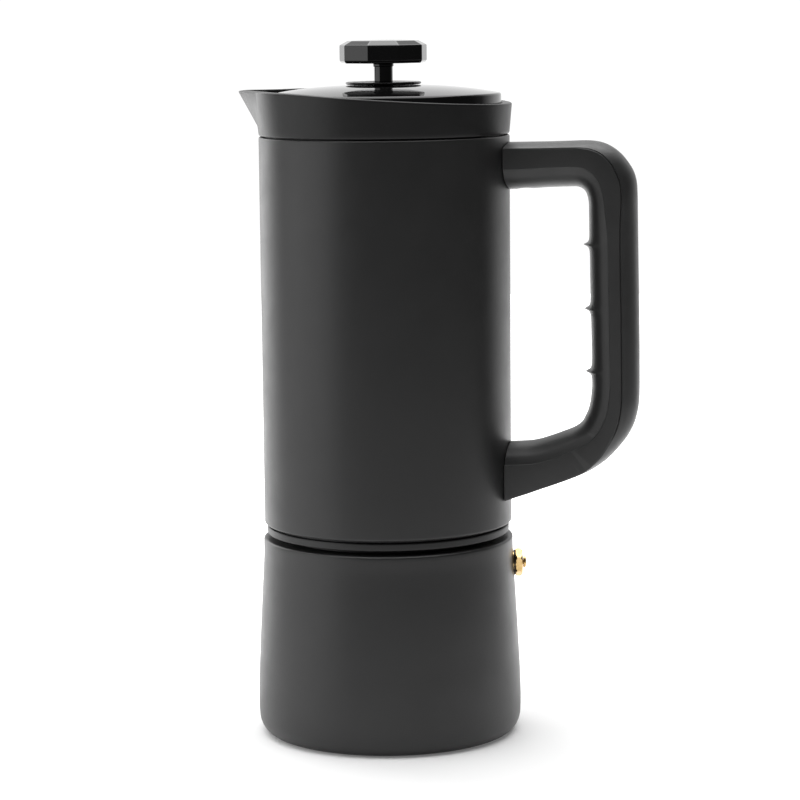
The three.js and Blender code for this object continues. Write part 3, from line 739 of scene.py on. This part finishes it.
def hsection(s):
    ox, oz, ix, iz, c = s
    L = math.hypot(ix - ox, iz - oz)
    dx, dz = (ix - ox) / L, (iz - oz) / L
    cin = 7.2
    Ro, Ri = (W * W + c * c) / (2 * c), (W * W + cin * cin) / (2 * cin)
    b = bump_at(iz) if ox > 85 else 0.0
    # depth of the shadow line beside the crown: none on the arms' roots, full round the grip
    g = max(0.0, min(1.0, (ox - 70) / 9)) * max(0.0, min(1.0, (oz - 104) / 8))
    wo, wi = W - 0.12 - 0.16 * g, W - 0.3
    poly = []
    for u in np.linspace(-1, 1, 15):
        y = u * wo
        poly.append((Ro - math.sqrt(max(0, Ro * Ro - y * y)), y) if abs(u) < 0.999 else (c, y, 0.12))
    poly += [(c + 0.18, wo - 0.02 - 0.38 * g, 0.05), (c + 0.5, W - 0.03 * g, 0.16)]
    poly += [(L - cin - 0.22, W, 0.2), (L - cin, wi, 0.08)]
    for u in np.linspace(1, -1, 25):
        y = u * wi
        e = Ri - math.sqrt(max(0, Ri * Ri - y * y))
        lift = b * max(0.0, 1 - (abs(u) / 0.86) ** 2.2)
        if abs(u) < 0.999:
            poly.append((L - e + lift, y))
    poly += [(L - cin, -wi, 0.08), (L - cin - 0.22, -W, 0.2)]
    poly += [(c + 0.5, -W + 0.03 * g, 0.16), (c + 0.18, -wo + 0.02 + 0.38 * g, 0.05)]
    pts = rounded(poly, True, 4, 0)
    out = []
    for sx, y in pts:
        x, z = ox + dx * sx, oz + dz * sx
        out.append([x, y, z])
    return out


sections = [hsection(s) for s in resample(fine)]
END = 44.85
for row in sections:
    for p in row:
        x_end = math.sqrt(max(0.0, END * END - p[1] * p[1]))
        w = max(0.0, min(1.0, 1 - (p[0] - END) / 7.0))
        p[0] += (x_end - END) * w
rows = [[tuple(p) for p in row] for row in sections]
handle = rings("handle_grip", rows, sharp=None)
for c in (box_cutter(40, 55.4, -4.9, 4.9, 200.6, 207.4), rod_cutter(3.3, 190, 199.6, 50.5), rod_cutter(1.9, 199, 201, 50.5),
          box_cutter(40, 55.4, -4.9, 4.9, 92.6, 99.4), rod_cutter(3.3, 80, 90.4, 50.5), rod_cutter(1.9, 90, 93, 50.5)):
    cut(handle, c)
sharpen(handle, 32)
place(handle, "upper", "handle_plastic", HANDLE, "handle")


def bracket(name, z0, z1):
    ob = box_cutter(44.7, 55.0, -4.5, 4.5, z0, z1)
    ob.name = name
    ob.data.name = name
    cut(ob, rod_cutter(1.9, z0 - 1, z1 + 1, 50.5))
    b = ob.modifiers.new("edge", "BEVEL")
    b.width = 0.35 * MM
    b.segments = 3
    b.limit_method = "ANGLE"
    return sharpen(ob, 35)


def hex_screw(name, z_head, z_tip):
    ob = lathe(name, rounded([(0, z_head + 1.2), (1.2, z_head + 1.2), (1.2, z_head, 0.12), (2.6, z_head, 0.3), (3.0, z_head + 0.5, 0.2), (3.0, z_head + 1.9, 0.15),
                              (1.6, z_head + 1.9, 0.1), (1.6, z_tip, 0.4), (0, z_tip)], False, 4, 0), 72, False)
    for v in ob.data.vertices:  # hexagon socket
        r = math.hypot(v.co.x, v.co.y) / MM
        z = v.co.z / MM
        if r < 1.3 and z < z_head + 1.3 and r > 0.3:
            a = math.atan2(v.co.y, v.co.x)
            k = math.cos(PI / 6) / math.cos((a % (PI / 3)) - PI / 6) * 1.12
            v.co.x *= k
            v.co.y *= k
    ob.data.transform(Matrix.Translation((50.5 * MM, 0, 0)))
    return sharpen(ob, 35)


place(bracket("upper_bracket_block", 201.0, 207.0), "upper", "inner_steel", STEEL, "upper_bracket")
place(bracket("lower_bracket_block", 93.0, 99.0), "upper", "inner_steel", STEEL, "lower_bracket")
place(hex_screw("upper_screw_socket", 197.4, 206.4), "upper", "inner_steel", STEEL_FINE, "upper_handle_screw")
place(hex_screw("lower_screw_socket", 88.2, 98.4), "upper", "inner_steel", STEEL_FINE, "lower_handle_screw")


# ------------------------------------------------------------------ lid, stem, disc, knob
def dome_z(r):
    return 232.9 - 3.2 * (r / 41.3) ** 2.5


dome = [(r, dome_z(r)) for r in (41.25, 40.6, 39.5, 38, 36, 33.5, 30.5, 27, 23.5, 20, 16.5, 13, 9.5, 5.5)]
under = [(5.5, dome_z(5.5) - 1.0), (16, dome_z(16) - 1.0), (24.4, dome_z(24.4) - 1.0), (30, dome_z(30) - 1.0), (35.7, dome_z(35.7) - 1.0), (40.0, 228.4, 1.0),
         (40.7, 227.0), (40.7, 223.7, 0.15), (41.7, 223.7, 0.3), (41.7, 227.5), (41.7, 229.15, 0.2), (41.45, 229.56, 0.12)]
lid = lathe("lid_cover", rounded(under, False, 5, 0.2) + [tuple(p) for p in dome], 192, sharp=60)
place(lid, "lid", "gloss_black", GLOSS, "lid")
seal = lathe("lid_seal_ring", rounded([(38.9, 220.9, 0.3), (39.7, 220.8, 0.3), (40.45, 221.9, 0.4), (40.0, 222.6, 0.2), (40.3, 223.3, 0.3), (40.3, 226.4, 0.2), (38.9, 226.4, 0.2)], True, 4, 0.2), 144)
place(seal, "lid", "silicone", SILICONE, "lid_seal")
bush = lathe("lid_bush_turned", rounded([(3.6, 224.5, 0.2), (5.4, 224.5, 0.4), (8.0, 229.3, 0.3), (8.0, 231.4, 0.3), (5.2, 231.5, 0.1), (5.2, 232.7, 0.2), (3.6, 232.7, 0.3)], True, 4, 0.2), 96, sharp=60)
place(bush, "lid", "gloss_black", GLOSS, "lid_bush")
stem = lathe("stem_turned", rounded([
    (0, 210.5), (2.9, 210.5, 0.2), (3.35, 210.9, 0.1), (3.35, 211.0), (2.7, 211.0, 0.05), (2.7, 212.3, 0.05), (3.35, 212.3, 0.15),
    (3.35, 239.2, 0.1), (3.68, 239.3, 0.2), (3.68, 240.3, 0.25), (2.3, 240.35, 0.05), (2.3, 245.6, 0.4), (0, 245.6)], False, 4, 0.2), 96, False, sharp=60)
place(stem, "plunger", "gloss_black", GLOSS, "stem")
clip = lathe("stem_clip_ring", rounded([(2.9, 211.3, 0.1), (5.6, 211.3, 0.2), (5.6, 212.0, 0.2), (2.9, 212.0, 0.1)], True, 3, 0), 72)
place(clip, "plunger", "inner_steel", STEEL_FINE, "stem_clip")
disc = lathe("stem_disc_turned", rounded([(3.35, 232.98), (12.9, 232.98, 0.2), (13.4, 233.25, 0.2), (13.4, 233.7, 0.25), (13.0, 233.92, 0.2), (3.35, 233.92)], True, 5, 0.2), 144)
place(disc, "plunger", "gloss_black", SATIN, "stem_disc")


def knob_row(r, z, n=9):
    return [(r * math.cos(math.radians(-60 + 40 * i)), r * math.sin(math.radians(-60 + 40 * i)), z) for i in range(n)]


kr = [knob_row(15.1, 240.5), knob_row(15.75, 241.4), knob_row(15.75, 246.8), knob_row(12.7, 248.35), knob_row(6.5, 248.65)]
kv = [p for r in kr for p in r]
kf = [tuple(range(8, -1, -1)), tuple(range(36, 45))]
for j in range(4):
    for i in range(9):
        k = (i + 1) % 9
        kf.append((j * 9 + i, j * 9 + k, (j + 1) * 9 + k, (j + 1) * 9 + i))
knob = make("knob_faceted", kv, kf)
cut(knob, rod_cutter(2.6, 238, 246, seg=64))
b = knob.modifiers.new("edge", "BEVEL")
b.width = 0.32 * MM
b.segments = 4
b.limit_method = "ANGLE"
b.angle_limit = math.radians(12)
b.harden_normals = True
knob.data.shade_smooth()
place(knob, "plunger", "gloss_black", GLOSS, "knob")


# ------------------------------------------------------------------ stage, light, camera
AZ = math.radians(10.0)
F_H = Vector((-math.sin(AZ), math.cos(AZ), 0.0))
RIGHT = Vector((math.cos(AZ), math.sin(AZ), 0.0))
fs = {"f": 2886.33, "D": 1.02791, "H": 0.25972, "t": 0.135, "roll": 0.011, "dx": -13.08}

R_FLOOR = 1.6
fv, ff = [(0, 0, 0)], []
for j, rr in enumerate(np.linspace(0.05, R_FLOOR, 24)):
    for i in range(96):
        a = 2 * PI * i / 96
        fv.append((rr * 1000 * math.cos(a), rr * 1000 * math.sin(a), 0))
for i in range(96):
    ff.append((0, 1 + i, 1 + (i + 1) % 96))
for j in range(23):
    for i in range(96):
        k = (i + 1) % 96
        a, c = 1 + j * 96, 1 + (j + 1) * 96
        ff.append((a + i, c + i, c + k, a + k))
floor = make("studio_floor", fv, ff)
floor.location.z = -0.0001
# painted light: the floor is painted white near the pot, behind it and to its left, and dark grey in front and to the
# right
fm = Nodes("studio_floor_painted_light")
sep = fm.new("ShaderNodeSeparateXYZ")
fm.link(fm.co, sep.inputs[0])
X, Y = sep.outputs[0], sep.outputs[1]
dist = fm.math("SQRT", fm.math("ADD", fm.math("MULTIPLY", X, X), fm.math("MULTIPLY", Y, Y)))
back = fm.math("ADD", fm.math("MULTIPLY", X, F_H.x), fm.math("MULTIPLY", Y, F_H.y))
left = fm.math("ADD", fm.math("MULTIPLY", X, -RIGHT.x), fm.math("MULTIPLY", Y, -RIGHT.y))
vb = fm.math("DIVIDE", back, fm.math("MAXIMUM", dist, 0.001))
vl = fm.math("DIVIDE", left, fm.math("MAXIMUM", dist, 0.001))
# painted pool of light: white right round the pot, fading to grey by 1.1 m
near = fm.ramp(dist, 0.16, 1.1, 1, 0)
g = fm.math("MAXIMUM", near, fm.ramp(vb, 0.35, 0.72, 0, 1))
g = fm.math("MAXIMUM", g, fm.math("MULTIPLY", fm.ramp(vl, 0.55, 0.85, 0, 1), 0.9))
col = fm.mix(g, (0.16, 0.16, 0.16), (0.86, 0.86, 0.86))
fm.set(Roughness=0.75)
fm.bsdf.inputs["Specular IOR Level"].default_value = 0.1
# painted glow: the floor emits light behind the pot and, at a quarter strength, round it; the glow is halved right
# beside the pot
em = fm.math("MULTIPLY", fm.math("MAXIMUM", fm.ramp(vb, 0.35, 0.72, 0, 1), fm.math("MULTIPLY", near, 0.25)), fm.ramp(dist, 0.05, 0.22, 0.5, 1.0))
fm.bsdf.inputs["Emission Color"].default_value = (1, 1, 1, 1)
fm.feed(Base_Color=col, Emission_Strength=em)
floor.data.materials.append(fm.mat)

w = bpy.data.worlds.new("studio")
scene.world = w
w.use_nodes = True
wt = w.node_tree
wt.nodes.clear()
wo = wt.nodes.new("ShaderNodeOutputWorld")
wb = wt.nodes.new("ShaderNodeBackground")
wc = wt.nodes.new("ShaderNodeTexCoord")
dot = wt.nodes.new("ShaderNodeVectorMath")
dot.operation = "DOT_PRODUCT"
dot.inputs[1].default_value = F_H
wt.links.new(wc.outputs["Generated"], dot.inputs[0])
rp = wt.nodes.new("ShaderNodeValToRGB")
rp.color_ramp.interpolation = "LINEAR"
els = rp.color_ramp.elements
els[0].position, els[0].color = 0.0, (0.07, 0.07, 0.072, 1)
els[1].position, els[1].color = 1.0, (1.06, 1.06, 1.06, 1)
for pos, v in ((0.35, 0.06), (0.55, 0.06), (0.68, 0.14), (0.80, 0.75), (0.87, 1.04)):
    e = els.new(pos)
    e.color = (v, v, v, 1)
mr = wt.nodes.new("ShaderNodeMapRange")
mr.inputs["From Min"].default_value = -1
mr.inputs["From Max"].default_value = 1
wt.links.new(dot.outputs["Value"], mr.inputs["Value"])
wt.links.new(mr.outputs["Result"], rp.inputs["Fac"])
wt.links.new(rp.outputs["Color"], wb.inputs["Color"])
wt.links.new(wb.outputs[0], wo.inputs[0])


def softbox(name, loc, target, sx, sy, radiance, tint=(1, 1, 1)):
    li = bpy.data.lights.new(name, "AREA")
    li.shape = "RECTANGLE"
    li.size, li.size_y = sx, sy
    li.energy = radiance * PI * sx * sy
    li.color = tint
    ob = bpy.data.objects.new(name, li)
    scene.collection.objects.link(ob)
    ob.location = loc
    ob.rotation_euler = (Vector(target) - Vector(loc)).to_track_quat("-Z", "Y").to_euler()
    ob.visible_camera = False
    return ob


def polar(az_deg, dist_m, z):
    """A place at an angle to the left of the camera's side, seen from the pot."""
    a = math.radians(az_deg)
    d = -F_H * math.cos(a) - RIGHT * math.sin(a)
    return (d.x * dist_m, d.y * dist_m, z)


softbox("top_box", polar(180, 0.12, 1.30), (0, 0, 0.1), 1.7, 1.7, 3.2)
softbox("left_box", polar(74, 1.0, 0.38), (0, 0, 0.13), 1.08, 1.05, 1.38)
softbox("left_back_box", polar(140, 1.1, 0.30), (0, 0, 0.13), 0.7, 1.2, 1.6)

cam_data = bpy.data.cameras.new("camera")
cam = bpy.data.objects.new("camera", cam_data)
scene.collection.objects.link(cam)
scene.camera = cam
cam_data.sensor_width = 36.0
cam_data.lens = fs["f"] / 800.0 * 36.0
cam_data.shift_x = -fs["dx"] / 800.0
cam_data.clip_start = 0.02
cam_data.clip_end = 50.0
loc = Vector((fs["D"] * math.sin(AZ), -fs["D"] * math.cos(AZ), fs["H"]))
fwd = F_H * math.cos(fs["t"]) + Vector((0, 0, -math.sin(fs["t"])))
up = RIGHT.cross(fwd)
rgt = RIGHT * math.cos(fs["roll"]) - up * math.sin(fs["roll"])
upr = up * math.cos(fs["roll"]) + RIGHT * math.sin(fs["roll"])
M = Matrix((rgt, upr, -fwd)).transposed().to_4x4()
M.translation = loc
cam.matrix_world = M

scene.view_settings.view_transform = "Standard"
scene.view_settings.look = "None"
scene.view_settings.exposure = 0.0
scene.view_settings.gamma = 1.0
